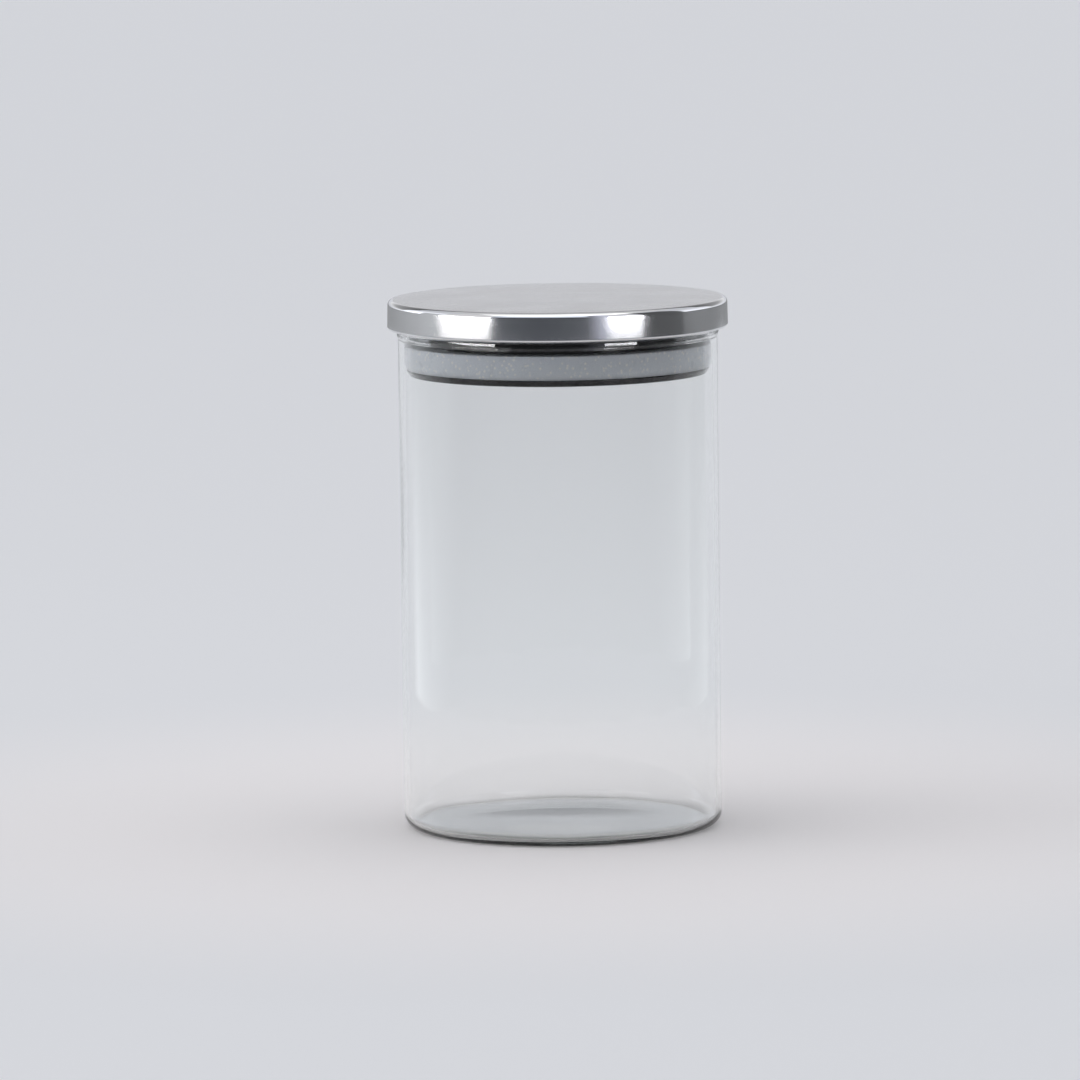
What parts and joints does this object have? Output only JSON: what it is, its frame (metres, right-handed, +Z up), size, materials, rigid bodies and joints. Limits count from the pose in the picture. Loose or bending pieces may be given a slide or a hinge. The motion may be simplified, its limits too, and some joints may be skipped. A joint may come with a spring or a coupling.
{
  "type": "lidded glass canister",
  "caption": "Straight clear glass storage jar with a push-in lid: satin steel cap, black plug body and a soft translucent seal that grips inside the mouth.",
  "frame": {"origin": "centre of the jar's base, on the surface that it stands on", "axes": "+Z up along the jar's axis, towards the lid; X and Y are equal, because the canister is round"},
  "size_m": [0.1064, 0.1064, 0.1663],
  "materials": {
    "clear_glass": "clear, polished",
    "satin_steel": "satin top, polished skirt",
    "black_plastic": "glossy moulded",
    "clear_silicone": "frosted, translucent"
  },
  "bodies": {
    "jar": {"glass_jar": "clear_glass"},
    "lid": {"steel_cap": "satin_steel", "lid_insert": "black_plastic", "seal_ring": "clear_silicone", "seal_retainer": "black_plastic"}
  },
  "joints": [
    {"name": "lid_lift", "type": "slide", "parent": "jar", "child": "lid", "axis": [0, 0, 1], "range_m": [0, 0.08]}
  ]
}
